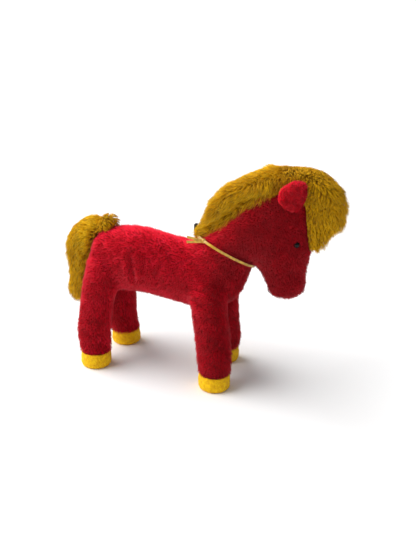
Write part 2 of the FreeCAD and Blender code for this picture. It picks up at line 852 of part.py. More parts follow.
def make_nodes():
    outer = body(0.0)
    hollow_parts = [barrel, neck, head]
    hollow = hollow_parts[0](-plush_thickness).multiFuse(
        [form(-plush_thickness) for form in hollow_parts[1:]]
        + [leg(end, side, -plush_thickness) for end, side in leg_places]
    )
    near_body = body(tape_gap)
    clear_body = body(part_gap)
    rooms = eye_room(-1).fuse(eye_room(1))

    nodes = skin_panels(outer, hollow, rooms)
    nodes.update(hooves())
    nodes.update(stuffing(rooms))
    for side in (-1, 1):
        eye, washer = eye_shapes(side)
        nodes["eye_" + side_names[side]] = eye
        nodes["eye_washer_" + side_names[side]] = washer
    nodes["mouth_stitch"] = mouth_stitch(outer)
    nodes.update(ears(clear_body))
    nodes.update(ribbon(near_body))
    tape = biggest(mane_tape(near_body).cut(nodes["ribbon_loop"]))
    nodes["mane_tape"] = tape
    fur = mane_form(0.0).cut(head(mane_clear, True)).cut(neck(mane_clear)).cut(barrel(mane_clear))
    fur = fur.cut(tape).cut(ear_form(-1, part_gap * 2)).cut(ear_form(1, part_gap * 2))
    for name in ("ribbon_loop", "ribbon_knot", "ribbon_end_upper", "ribbon_end_lower"):
        fur = fur.cut(nodes[name])
    nodes["mane_fur"] = biggest(fur)
    nodes.update(tail(clear_body))
    return nodes


def main():
    os.makedirs("parts", exist_ok=True)
    nodes = make_nodes()
    low = min(shape.optimalBoundingBox().XMin for shape in nodes.values())
    high = max(shape.optimalBoundingBox().XMax for shape in nodes.values())
    shift = Vector(-(low + high) / 2, 0, 0)
    for name, shape in sorted(nodes.items()):
        shape.translate(shift)
        shape.exportStep(os.path.join("parts", name + ".step"))
    print("nodes", len(nodes), "shift", round(shift.x, 3))
    for title, point in (
        ("tail pivot", tail_pivot()),
        ("ear base right", ear_place(-1)[0]),
        ("ear base left", ear_place(1)[0]),
        ("front right sole", foot_point("front", -1)),
    ):
        place = point + shift
        print(title, round(place.x, 2), round(place.y, 2), round(place.z, 2))
    direction = ear_place(-1)[2]
    print("ear fold axis", round(direction.x, 4), round(direction.y, 4), round(direction.z, 4))


main()
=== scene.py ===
"""Looks of a standing stuffed horse: red plush, gold velour hooves, long gold mane and tail.

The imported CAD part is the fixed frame. Soft pieces are grown from copies of its nodes, the
pile, mane and tail are real tapered fibres, and everything is in metres, +X towards the head.
"""

import logging
import math
from dataclasses import dataclass, field
from enum import Enum
from functools import cache
from typing import Any

import bpy
import numpy as np
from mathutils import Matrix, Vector
from mathutils.bvhtree import BVHTree


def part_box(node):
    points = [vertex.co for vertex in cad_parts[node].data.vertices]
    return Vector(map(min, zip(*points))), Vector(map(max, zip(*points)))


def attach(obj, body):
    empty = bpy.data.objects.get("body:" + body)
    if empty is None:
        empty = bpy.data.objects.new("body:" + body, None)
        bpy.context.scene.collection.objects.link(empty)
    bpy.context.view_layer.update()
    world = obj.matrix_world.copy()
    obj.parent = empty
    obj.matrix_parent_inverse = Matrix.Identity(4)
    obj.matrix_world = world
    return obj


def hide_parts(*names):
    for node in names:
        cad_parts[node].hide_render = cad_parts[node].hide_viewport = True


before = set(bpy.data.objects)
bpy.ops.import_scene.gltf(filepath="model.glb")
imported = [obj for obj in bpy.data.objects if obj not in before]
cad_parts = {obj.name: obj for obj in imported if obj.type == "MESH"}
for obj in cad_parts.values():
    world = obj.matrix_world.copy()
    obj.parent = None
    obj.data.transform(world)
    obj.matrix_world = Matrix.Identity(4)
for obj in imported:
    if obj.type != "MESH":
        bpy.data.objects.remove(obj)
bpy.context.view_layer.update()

logging.basicConfig(level=logging.INFO, format="%(message)s")
log = logging.getLogger("plush_horse")

MM = 0.001
FIBRE_MAP = "OFBake"


class Side(Enum):
    """The horse's right is towards -Y, its left towards +Y."""

    RIGHT = -1
    LEFT = 1

    @property
    def word(self) -> str:
        """The side's name as the CAD nodes write it."""
        return self.name.lower()


class Coat(Enum):
    """The parts of the red coat, each grown as a piece of its own."""

    BARREL = "barrel"
    RUMP = "rump"
    NECK = "neck"
    HEAD = "head"
    FORE_LEGS = "fore_legs"
    HIND_LEGS = "hind_legs"


# ---------------------------------------------------------------------------
# Numbers and arrays
# ---------------------------------------------------------------------------

def linear(hex_code: str) -> tuple[float, float, float, float]:
    """Turn an sRGB hex colour to the renderer's linear one.

    Formula: each channel c is c / 12.92 below 0.04045, else ((c + 0.055) / 1.055) to the 2.4.

    Args:
        hex_code: six hex digits with a leading hash.

    Returns:
        Linear red, green, blue and an alpha of one.
    """
    channels = [int(hex_code[i:i + 2], 16) / 255 for i in (1, 3, 5)]
    turned = [c / 12.92 if c <= 0.04045 else ((c + 0.055) / 1.055) ** 2.4 for c in channels]
    return turned[0], turned[1], turned[2], 1.0


def unit(vectors: np.ndarray) -> np.ndarray:
    """Scale each row to length one."""
    return vectors / np.maximum(np.linalg.norm(vectors, axis=-1, keepdims=True), 1e-12)


def flattened(vectors: np.ndarray, normals: np.ndarray) -> np.ndarray:
    """Take from each vector its part along the normal, and scale what is left to length one."""
    along = (vectors * normals).sum(1, keepdims=True)
    return unit(vectors - normals * along)


def ripple(points: np.ndarray, wavelength: float, seed: int, waves: int = 9) -> np.ndarray:
    """Give smooth random values over space.

    Formula: the mean of a few sines, each along a random direction with a wavelength near the
    given one and a random phase, scaled to spread over about -1 to 1.

    Args:
        points: rows of x, y, z.
        wavelength: the usual distance between two crests.
        seed: which pattern.
        waves: how many sines.

    Returns:
        One value per row.
    """
    rng = np.random.default_rng(seed)
    directions = unit(rng.normal(size=(waves, 3)))
    turns = 2 * np.pi / (wavelength * rng.uniform(0.7, 1.5, waves))
    phases = rng.uniform(0, 2 * np.pi, waves)
    return np.sin(points @ (directions * turns[:, None]).T + phases).mean(1) * 2.2


def distance_to_path(points: np.ndarray, path: np.ndarray) -> np.ndarray:
    """Measure how far points are from a broken line.

    Formula: for each straight stretch the nearest point is its start plus the stretch times the
    clipped share of the way along; the least of the distances is kept.

    Args:
        points: rows of x, y, z.
        path: rows of x, y, z, in order.

    Returns:
        One distance per point.
    """
    best = np.full(len(points), np.inf)
    for start, end in zip(path[:-1], path[1:]):
        stretch = end - start
        share = np.clip((points - start) @ stretch / (stretch @ stretch), 0, 1)
        gap = np.linalg.norm(points - (start + share[:, None] * stretch), axis=1)
        best = np.minimum(best, gap)
    return best


# ---------------------------------------------------------------------------
# Meshes
# ---------------------------------------------------------------------------

@dataclass
class Surface:
    """A skin that fibres can root in: corner points, triangles and point normals."""

    points: np.ndarray
    triangles: np.ndarray
    normals: np.ndarray = field(init=False)

    def __post_init__(self) -> None:
        """Work out the point normals as the sum of the crossed edges of each triangle."""
        a, b, c = (self.points[self.triangles[:, i]] for i in range(3))
        crossed = np.cross(b - a, c - a)
        sums = np.zeros_like(self.points)
        for i in range(3):
            np.add.at(sums, self.triangles[:, i], crossed)
        self.normals = unit(sums)

    @classmethod
    def of(cls, thing: bpy.types.Object) -> "Surface":
        """Read an object's mesh.

        Args:
            thing: a mesh object at the origin.

        Returns:
            Its surface.
        """
        mesh = thing.data
        mesh.calc_loop_triangles()
        points = np.empty(len(mesh.vertices) * 3, np.float32)
        mesh.vertices.foreach_get("co", points)
        triangles = np.empty(len(mesh.loop_triangles) * 3, np.int32)
        mesh.loop_triangles.foreach_get("vertices", triangles)
        return cls(points.reshape(-1, 3).astype(float), triangles.reshape(-1, 3))

    def areas(self) -> np.ndarray:
        """The area of each triangle."""
        a, b, c = (self.points[self.triangles[:, i]] for i in range(3))
        return np.linalg.norm(np.cross(b - a, c - a), axis=1) / 2

    def scattered(self, density: float, rng: np.random.Generator) -> tuple[np.ndarray, np.ndarray]:
        """Spread roots evenly over the surface.

        Formula: a triangle is drawn in proportion to its area, and a point in it from two random
        shares r and s as (1 - sqrt r) a + sqrt r (1 - s) b + sqrt r s c.

        Args:
            density: roots per square metre.
            rng: the seeded source.

        Returns:
            Root points and their normals.
        """
        areas = self.areas()
        count = int(areas.sum() * density)
        chosen = self.triangles[rng.choice(len(areas), count, p=areas / areas.sum())]
        r, s = np.sqrt(rng.random((count, 1))), rng.random((count, 1))
        weights = (1 - r, r * (1 - s), r * s)
        roots = sum(w * self.points[chosen[:, i]] for i, w in enumerate(weights))
        normals = sum(w * self.normals[chosen[:, i]] for i, w in enumerate(weights))
        return roots, unit(normals)


def made_object(name: str, points: np.ndarray, triangles: np.ndarray) -> bpy.types.Object:
    """Put triangles into a new smooth-shaded object at the origin.

    Args:
        name: the piece's name.
        points: rows of x, y, z.
        triangles: rows of three point numbers, counter-clockwise from outside.

    Returns:
        The linked object.
    """
    mesh = bpy.data.meshes.new(name)
    mesh.vertices.add(len(points))
    mesh.vertices.foreach_set("co", points.astype(np.float32).ravel())
    mesh.loops.add(triangles.size)
    mesh.loops.foreach_set("vertex_index", triangles.astype(np.int32).ravel())
    mesh.polygons.add(len(triangles))
    mesh.polygons.foreach_set("loop_start", np.arange(0, triangles.size, 3, dtype=np.int32))
    mesh.update(calc_edges=True)
    mesh.shade_smooth()
    thing = bpy.data.objects.new(name, mesh)
    bpy.context.scene.collection.objects.link(thing)
    return thing


def moved_points(thing: bpy.types.Object, points: np.ndarray) -> None:
    """Give an object's mesh new corner points.

    Args:
        thing: the object.
        points: as many rows as it has vertices.
    """
    thing.data.vertices.foreach_set("co", points.astype(np.float32).ravel())
    thing.data.update()


def applied(thing: bpy.types.Object) -> None:
    """Turn the result of an object's modifiers into its own mesh.

    Args:
        thing: the object, left with no modifiers.
    """
    seen = thing.evaluated_get(bpy.context.evaluated_depsgraph_get())
    result = bpy.data.meshes.new_from_object(seen)
    old = thing.data
    thing.modifiers.clear()
    thing.data = result
    bpy.data.meshes.remove(old)
    result.name = thing.name


def copied_nodes(name: str, nodes: list[str], floor: float = -1.0) -> bpy.types.Object:
    """Join copies of CAD nodes in one object and merge their doubled points.

    Args:
        name: the new object's name.
        nodes: the CAD nodes to copy.
        floor: no copied point stays lower than this.

    Returns:
        The joined object.
    """
    points, triangles, used = [], [], 0
    for node in nodes:
        surface = Surface.of(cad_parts[node])
        points.append(surface.points)
        triangles.append(surface.triangles + used)
        used += len(surface.points)
    every = np.concatenate(points)
    every[:, 2] = np.maximum(every[:, 2], floor)
    keys, back = np.unique(np.round(every / 1e-6).astype(np.int64), axis=0, return_inverse=True)
    corners = back.reshape(-1)[np.concatenate(triangles)]
    flat = (corners == np.roll(corners, 1, axis=1)).any(1)
    return made_object(name, keys * 1e-6, corners[~flat])


def remeshed(thing: bpy.types.Object, voxel: float) -> None:
    """Replace an object's mesh by one even skin of small squares.

    Args:
        thing: a closed object.
        voxel: the squares' side.
    """
    step = thing.modifiers.new("Remesh", "REMESH")
    step.mode = "VOXEL"
    step.voxel_size = voxel
    applied(thing)


def relaxed(thing: bpy.types.Object, rounds: int) -> None:
    """Smooth an object's mesh by a number of rounds."""
    step = thing.modifiers.new("Relax", "SMOOTH")
    step.factor = 0.5
    step.iterations = rounds
    applied(thing)


def refined(thing: bpy.types.Object) -> None:
    """Split every face of an object in four, smoothly."""
    step = thing.modifiers.new("Refine", "SUBSURF")
    step.levels = step.render_levels = 1
    applied(thing)


# ---------------------------------------------------------------------------
# Fibres
# ---------------------------------------------------------------------------

@dataclass(frozen=True)
class Fibres:
    """Closed three-sided fibres, each a tapered thread from its root to one tip point."""

    thickness: float
    belly: float = 0.25

    def built(self, name: str, stations: np.ndarray, tone: np.ndarray) -> bpy.types.Object:
        """Make one mesh of all fibres.

        Formula: at each station but the last stand three points, a third of a turn apart, round
        the fibre's line, at a radius that swells a little and then thins towards the tip. The
        map's first value is the fibre's tone and its second the share of the way from root to
        tip, so that colour may follow both.

        Args:
            name: the piece's name.
            stations: fibres by stations by x, y, z.
            tone: one value from 0 to 1 per fibre.

        Returns:
            The object, with its fibre map.
        """
        count, steps = stations.shape[:2]
        rings = steps - 1
        along = unit(np.gradient(stations, axis=1))[:, :rings]
        guide = np.where(np.abs(along[:, :1, 2:]) < 0.9, (0.0, 0.0, 1.0), (1.0, 0.0, 0.0))
        across = unit(np.cross(along, np.broadcast_to(guide, along.shape)))
        lift = np.cross(along, across)
        share = np.arange(rings) / rings
        radius = self.thickness / 2 * (1 - share ** 2) * (1 + self.belly * np.sin(np.pi * share))
        turn = 2 * np.pi * np.arange(3) / 3
        ring = (
            stations[:, :rings, None]
            + radius[None, :, None, None] * (
                across[:, :, None] * np.cos(turn)[:, None] + lift[:, :, None] * np.sin(turn)[:, None]
            )
        )
        points = np.concatenate([ring.reshape(count, -1, 3), stations[:, -1:]], 1)
        per_fibre = rings * 3 + 1
        faces, spread = [(0, 2, 1)], [((-1, 0.0), (0, 0.03), (1, 0.0))]
        for k in range(rings):
            low, high = k / rings, (k + 1) / rings
            for i in range(3):
                j = (i + 1) % 3
                if k < rings - 1:
                    faces.append((k * 3 + i, k * 3 + j, k * 3 + 3 + j))
                    faces.append((k * 3 + i, k * 3 + 3 + j, k * 3 + 3 + i))
                    spread += [((-1, low), (1, low), (1, high)), ((-1, low), (1, high), (-1, high))]
                else:
                    faces.append((k * 3 + i, k * 3 + j, rings * 3))
                    spread.append(((-1, low), (1, low), (0, high)))
        starts = np.arange(count)[:, None, None] * per_fibre
        triangles = (starts + np.array(faces)[None]).reshape(-1, 3)
        thing = made_object(name, points.reshape(-1, 3), triangles)
        pattern = np.array(spread, float).reshape(-1, 2)
        values = np.empty((count, len(pattern), 2), np.float32)
        values[..., 0] = np.clip(tone, 0.012, 0.988)[:, None] + 0.008 * pattern[None, :, 0]
        values[..., 1] = 0.005 + 0.99 * pattern[None, :, 1]
        layer = thing.data.uv_layers.new(name=FIBRE_MAP)
        layer.uv.foreach_set("vector", values.ravel())
        return thing


def clumped(points: np.ndarray, roots: np.ndarray, size: float, pull: float, seed: int) -> np.ndarray:
    """Draw fibre points together in locks.

    Formula: space is cut in cells after bending it by a ripple, so that the cells aren't square;
    each point moves by the given share towards the mean point of its cell's fibres.

    Args:
        points: the points to draw together, one per fibre.
        roots: the fibres' roots, which say who shares a lock.
        size: a lock's width.
        pull: share of the way to the lock's middle.
        seed: which pattern.

    Returns:
        The moved points.
    """
    bend = np.stack([ripple(roots, size * 3.1, seed + i) for i in range(3)], 1) * size * 0.55
    cells = np.floor((roots + bend) / size).astype(np.int64)
    _, lock = np.unique(cells, axis=0, return_inverse=True)
    lock = lock.reshape(-1)
    sizes = np.bincount(lock)
    middle = np.stack([np.bincount(lock, points[:, i]) / sizes for i in range(3)], 1)
    return points + (middle[lock] - points) * pull


# ---------------------------------------------------------------------------
# Finishes
# ---------------------------------------------------------------------------

def add(tree: Any, kind: str, settings: dict[str, Any], links: dict[str, Any]) -> Any:
    """Add a node with its settings and links.

    Args:
        tree: the node tree.
        kind: Blender's name of the node.
        settings: values by attribute name or by input name or number.
        links: output sockets by the input name or number that they feed.

    Returns:
        The node.
    """
    node = tree.nodes.new(kind)
    for key, value in settings.items():
        if isinstance(key, str) and hasattr(node, key):
            setattr(node, key, value)
        elif key == "stops":
            ramp = node.color_ramp
            while len(ramp.elements) < len(value):
                ramp.elements.new(0.5)
            for element, (place, code) in zip(ramp.elements, value):
                element.position = place
                element.color = linear(code)
        else:
            node.inputs[key].default_value = value
    for key, socket in links.items():
        tree.links.new(socket, node.inputs[key])
    return node


def new_material(name: str) -> tuple[bpy.types.Material, Any]:
    """Start a node material with an empty tree.

    Args:
        name: the material's name.

    Returns:
        The material and its tree.
    """
    material = bpy.data.materials.new(name)
    material.use_nodes = True
    material.node_tree.nodes.clear()
    return material, material.node_tree


def closed_with(tree: Any, shader: Any) -> None:
    """Send a shader to the material's surface output."""
    add(tree, "ShaderNodeOutputMaterial", {}, {"Surface": shader.outputs[0]})


@dataclass(frozen=True)
class FibrePile:
    """Acrylic pile fibres, spun and brushed: soft scatter, a faint sheen, and painted shade that darkens them
    at the roots.

    The tone across the map picks the dye's colour; on the body and tail painted light and shade are mixed
    into the tone. The way up the fibre lightens it, from painted shade at the roots to none at the tips.
    Tones over the guard share are guard hairs with a dark end, where the fur has any.
    """

    name: str
    shades: tuple[tuple[float, str], ...]
    root_shade: tuple[tuple[float, str], ...]
    guard_root_shade_and_dark_tip: tuple[tuple[float, str], ...] = ()
    guard_share: float = 1.0
    roughness: float = 0.72
    sheen: float = 0.35

    @cache
    def material(self) -> bpy.types.Material:
        """Build the node tree once; later calls give the same material.

        Returns:
            The material.
        """
        material, tree = new_material(self.name)
        map_node = add(tree, "ShaderNodeUVMap", {"uv_map": FIBRE_MAP}, {})
        parts = add(tree, "ShaderNodeSeparateXYZ", {}, {0: map_node.outputs["UV"]})
        shade = add(tree, "ShaderNodeValToRGB", {"stops": self.shades}, {0: parts.outputs["X"]})
        # Painted shade: this ramp darkens each fibre towards its root, deep in the pile where shade falls,
        # and leaves the tip as it is.
        root_shade = add(tree, "ShaderNodeValToRGB", {"stops": self.root_shade}, {0: parts.outputs["Y"]})
        along = root_shade.outputs[0]
        if self.guard_root_shade_and_dark_tip:
            # Guard hairs: painted shade at the root, as above, and a real dark tip.
            guard = add(
                tree, "ShaderNodeValToRGB", {"stops": self.guard_root_shade_and_dark_tip}, {0: parts.outputs["Y"]}
            )
            which = add(
                tree, "ShaderNodeMath", {"operation": "GREATER_THAN", 1: self.guard_share},
                {0: parts.outputs["X"]},
            )
            along = add(
                tree, "ShaderNodeMix", {"data_type": "RGBA"},
                {0: which.outputs[0], 6: root_shade.outputs[0], 7: guard.outputs[0]},
            ).outputs[2]
        colour = add(
            tree, "ShaderNodeMix", {"data_type": "RGBA", "blend_type": "MULTIPLY", 0: 1.0},
            {6: shade.outputs[0], 7: along},
        )
        shader = add(
            tree, "ShaderNodeBsdfPrincipled",
            {"Roughness": self.roughness, "Sheen Weight": self.sheen, "Specular IOR Level": 0.15},
            {"Base Color": colour.outputs[2]},
        )
        closed_with(tree, shader)
        return material


@dataclass(frozen=True)
class Cloth:
    """A fabric or felt face: dye that varies in blotches, and a raised texture of a real size.

    The blotches give the eye a brushed, handled cloth and the texture its nap, knit or weave.
    """

    name: str
    deep: str
    light: str
    blotch_mm: float
    grain_mm: float
    relief_mm: float
    roughness: float = 0.85
    sheen: float = 0.4
    weave: bool = False

    @cache
    def material(self) -> bpy.types.Material:
        """Build the node tree once; later calls give the same material.

        Returns:
            The material.
        """
        material, tree = new_material(self.name)
        place = add(tree, "ShaderNodeTexCoord", {}, {})
        blotch = add(
            tree, "ShaderNodeTexNoise",
            {"Scale": 1000 / self.blotch_mm, "Detail": 3.0, "Roughness": 0.6},
            {"Vector": place.outputs["Object"]},
        )
        grain = add(
            tree, "ShaderNodeTexNoise", {"Scale": 1000 / self.grain_mm, "Detail": 2.0},
            {"Vector": place.outputs["Object"]},
        )
        height = grain.outputs["Fac"]
        if self.weave:
            over = add(
                tree, "ShaderNodeTexWave",
                {"bands_direction": "X", "Scale": 314 / self.grain_mm, "Distortion": 0.4},
                {"Vector": place.outputs["Object"]},
            )
            under = add(
                tree, "ShaderNodeTexWave",
                {"bands_direction": "Z", "Scale": 314 / self.grain_mm, "Distortion": 0.4},
                {"Vector": place.outputs["Object"]},
            )
            crossed = add(
                tree, "ShaderNodeMath", {"operation": "MAXIMUM"},
                {0: over.outputs["Fac"], 1: under.outputs["Fac"]},
            )
            height = crossed.outputs[0]
        mixed = add(
            tree, "ShaderNodeMath", {"operation": "MULTIPLY_ADD", 1: 0.55},
            {0: height, 2: blotch.outputs["Fac"]},
        )
        dye = add(
            tree, "ShaderNodeValToRGB", {"stops": ((0.5, self.deep), (0.98, self.light))},
            {0: mixed.outputs[0]},
        )
        relief = add(
            tree, "ShaderNodeBump", {"Strength": 0.8, "Distance": self.relief_mm * MM}, {"Height": height}
        )
        shader = add(
            tree, "ShaderNodeBsdfPrincipled",
            {"Roughness": self.roughness, "Sheen Weight": self.sheen, "Specular IOR Level": 0.25},
            {"Base Color": dye.outputs[0], "Normal": relief.outputs[0]},
        )
        closed_with(tree, shader)
        return material


@dataclass(frozen=True)
class Satin:
    """Polyester satin ribbon, woven in floating threads: a streaked gloss along its length."""

    name: str
    deep: str
    light: str
    thread_mm: float

    @cache
    def material(self) -> bpy.types.Material:
        """Build the node tree once; later calls give the same material.

        Returns:
            The material.
        """
        material, tree = new_material(self.name)
        place = add(tree, "ShaderNodeTexCoord", {}, {})
        threads = add(
            tree, "ShaderNodeTexNoise", {"Scale": 1000 / self.thread_mm, "Detail": 2.0},
            {"Vector": place.outputs["Object"]},
        )
        slubs = add(
            tree, "ShaderNodeTexNoise", {"Scale": 1000 / (self.thread_mm * 22), "Detail": 2.0},
            {"Vector": place.outputs["Object"]},
        )
        both = add(
            tree, "ShaderNodeMath", {"operation": "MULTIPLY_ADD", 1: 0.4},
            {0: threads.outputs["Fac"], 2: slubs.outputs["Fac"]},
        )
        dye = add(
            tree, "ShaderNodeValToRGB", {"stops": ((0.45, self.deep), (0.9, self.light))},
            {0: both.outputs[0]},
        )
        relief = add(
            tree, "ShaderNodeBump", {"Strength": 0.4, "Distance": 0.05 * MM},
            {"Height": threads.outputs["Fac"]},
        )
        shader = add(
            tree, "ShaderNodeBsdfPrincipled",
            {"Roughness": 0.34, "Anisotropic": 0.5, "Specular IOR Level": 0.6, "Sheen Weight": 0.15},
            {"Base Color": dye.outputs[0], "Normal": relief.outputs[0]},
        )
        closed_with(tree, shader)
        return material


@dataclass(frozen=True)
class MouldedPlastic:
    """Injection-moulded plastic with a slight flow mottle; polished for the eyes, dull for washers."""

    name: str
    deep: str
    light: str
    roughness: float
    coat: float = 0.0
    shine: float = 0.5

    @cache
    def material(self) -> bpy.types.Material:
        """Build the node tree once; later calls give the same material.

        Returns:
            The material.
        """
        material, tree = new_material(self.name)
        place = add(tree, "ShaderNodeTexCoord", {}, {})
        mottle = add(
            tree, "ShaderNodeTexNoise", {"Scale": 420.0, "Detail": 2.0}, {"Vector": place.outputs["Object"]}
        )
        tint = add(
            tree, "ShaderNodeValToRGB", {"stops": ((0.35, self.deep), (0.7, self.light))},
            {0: mottle.outputs["Fac"]},
        )
        gloss = add(
            tree, "ShaderNodeMapRange", {"To Min": self.roughness, "To Max": self.roughness + 0.05},
            {"Value": mottle.outputs["Fac"]},
        )
        shader = add(
            tree, "ShaderNodeBsdfPrincipled",
            {"IOR": 1.49, "Coat Weight": self.coat, "Coat Roughness": 0.03, "Specular IOR Level": self.shine},
            {"Base Color": tint.outputs[0], "Roughness": gloss.outputs[0]},
        )
        closed_with(tree, shader)
        return material


RED_PILE = FibrePile(
    name="Acrylic plush pile brushed red",
    shades=((0.0, "#b00218"), (0.35, "#da0424"), (0.7, "#f60a32"), (1.0, "#ff2c50")),
    # The second ramp is painted shade: dark at the fibre's root, white at its tip.
    root_shade=((0.0, "#b45458"), (0.45, "#f4d8d8"), (1.0, "#ffffff")),
    sheen=0.06,
)
GOLD_FUR = FibrePile(
    name="Acrylic long fur brushed gold",
    shades=((0.0, "#be8a02"), (0.3, "#e4b204"), (0.7, "#f8ca08"), (1.0, "#ffdc2c")),
    # The second ramp is painted shade at the roots; the guard ramp adds painted shade at the root and a real
    # dark tip.
    root_shade=((0.0, "#b0904c"), (0.35, "#fff0c4"), (1.0, "#ffffff")),
    guard_root_shade_and_dark_tip=((0.0, "#6e5424"), (0.45, "#e4cc90"), (0.75, "#9a8a60"), (1.0, "#1c1b1e")),
    guard_share=0.78,
    sheen=0.04,
)
RED_KNIT = Cloth("Polyester knit backing dyed red", "#7a0410", "#c4081c", 9.0, 0.9, 0.3, 0.85, 0.05)
EAR_KNIT = Cloth("Polyester knit ear lining red", "#8a0612", "#d01024", 6.0, 0.8, 0.25, 0.85, 0.05)
GOLD_VELOUR = Cloth("Polyester velour sheared gold", "#dc9c02", "#ffd006", 4.5, 0.8, 0.35, 0.85, 0.05)
# Painted shade: the core under the long fibres is coloured a darker brown-gold for the shade deep in the fur.
FUR_CORE_PAINTED_SHADE = Cloth("Acrylic fur undercoat brown gold", "#7a5206", "#c08a0c", 5.0, 0.9, 0.4, 0.85, 0.03)
FUR_BACKING = Cloth("Polyester knit fur backing tan", "#6b4a1c", "#a07a3a", 7.0, 0.9, 0.2)
BLACK_TAPE = Cloth("Cotton twill binding woven black", "#0a0a0b", "#26262a", 4.0, 0.7, 0.2, 0.7, 0.2, True)
RED_THREAD = Cloth("Polyester thread twisted dark red", "#2a0408", "#5e0c16", 3.0, 0.5, 0.15, 0.6, 0.2)
STUFFING = Cloth("Polyester fibrefill carded white", "#cfccc4", "#f4f2ec", 8.0, 1.2, 0.8, 0.9, 0.3)
SOLE_BOARD = Cloth("Paperboard pressed grey", "#8a8478", "#b4ad9e", 6.0, 0.6, 0.05, 0.9, 0.0)
GOLD_SATIN = Satin("Polyester satin ribbon woven gold", "#8e6408", "#d8a81c", 0.18)
EYE_BEAD = MouldedPlastic("ABS safety eye polished black", "#030303", "#090808", 0.22, 0.0, 0.22)
WASHER = MouldedPlastic("Polypropylene washer moulded white", "#c9c9c4", "#e8e8e4", 0.45)


def dress(thing: bpy.types.Object, finish: bpy.types.Material) -> None:
    """Give an object one material.

    Args:
        thing: the object.
        finish: its material.
    """
    thing.data.materials.clear()
    thing.data.materials.append(finish)


# ---------------------------------------------------------------------------
# The body
# ---------------------------------------------------------------------------

PANELS = ["side_panel_right", "side_panel_left", "underbody_gusset", "face_gusset"]
FILLINGS = [
    "stuffing_torso", "stuffing_neck", "stuffing_head",
    "stuffing_leg_front_right", "stuffing_leg_front_left",
    "stuffing_leg_rear_right", "stuffing_leg_rear_left",
]


@dataclass(frozen=True)
class Fold:
    """A crease on the flank: its line in millimetres on the right side, its depth and width."""

    line: tuple[tuple[float, float, float], ...]
    depth: float
    width: float


FOLDS = (
    Fold(((-75, -39, 170), (-72, -42, 151), (-71, -40, 130)), 4.6, 4.2),
    Fold(((-30, -34, 164), (-35, -38, 150), (-43, -38, 132)), 3.2, 3.2),
    Fold(((-53, -39, 160), (-57, -41, 144)), 2.6, 3.0),
    Fold(((6, -39, 120), (23, -48, 121), (36, -50, 114)), 3.2, 3.0),
    Fold(((16, -41, 133), (32, -43, 131), (46, -41, 123)), 2.4, 3.0),
    Fold(((24, -52, 68), (37, -56, 71), (47, -53, 72)), 3.0, 2.6),
    Fold(((32, -54, 88), (47, -51, 85)), 2.2, 2.6),
    Fold(((111, -15, 134), (116, -17, 136.5), (121, -18.5, 138.5)), 2.2, 2.6),
)


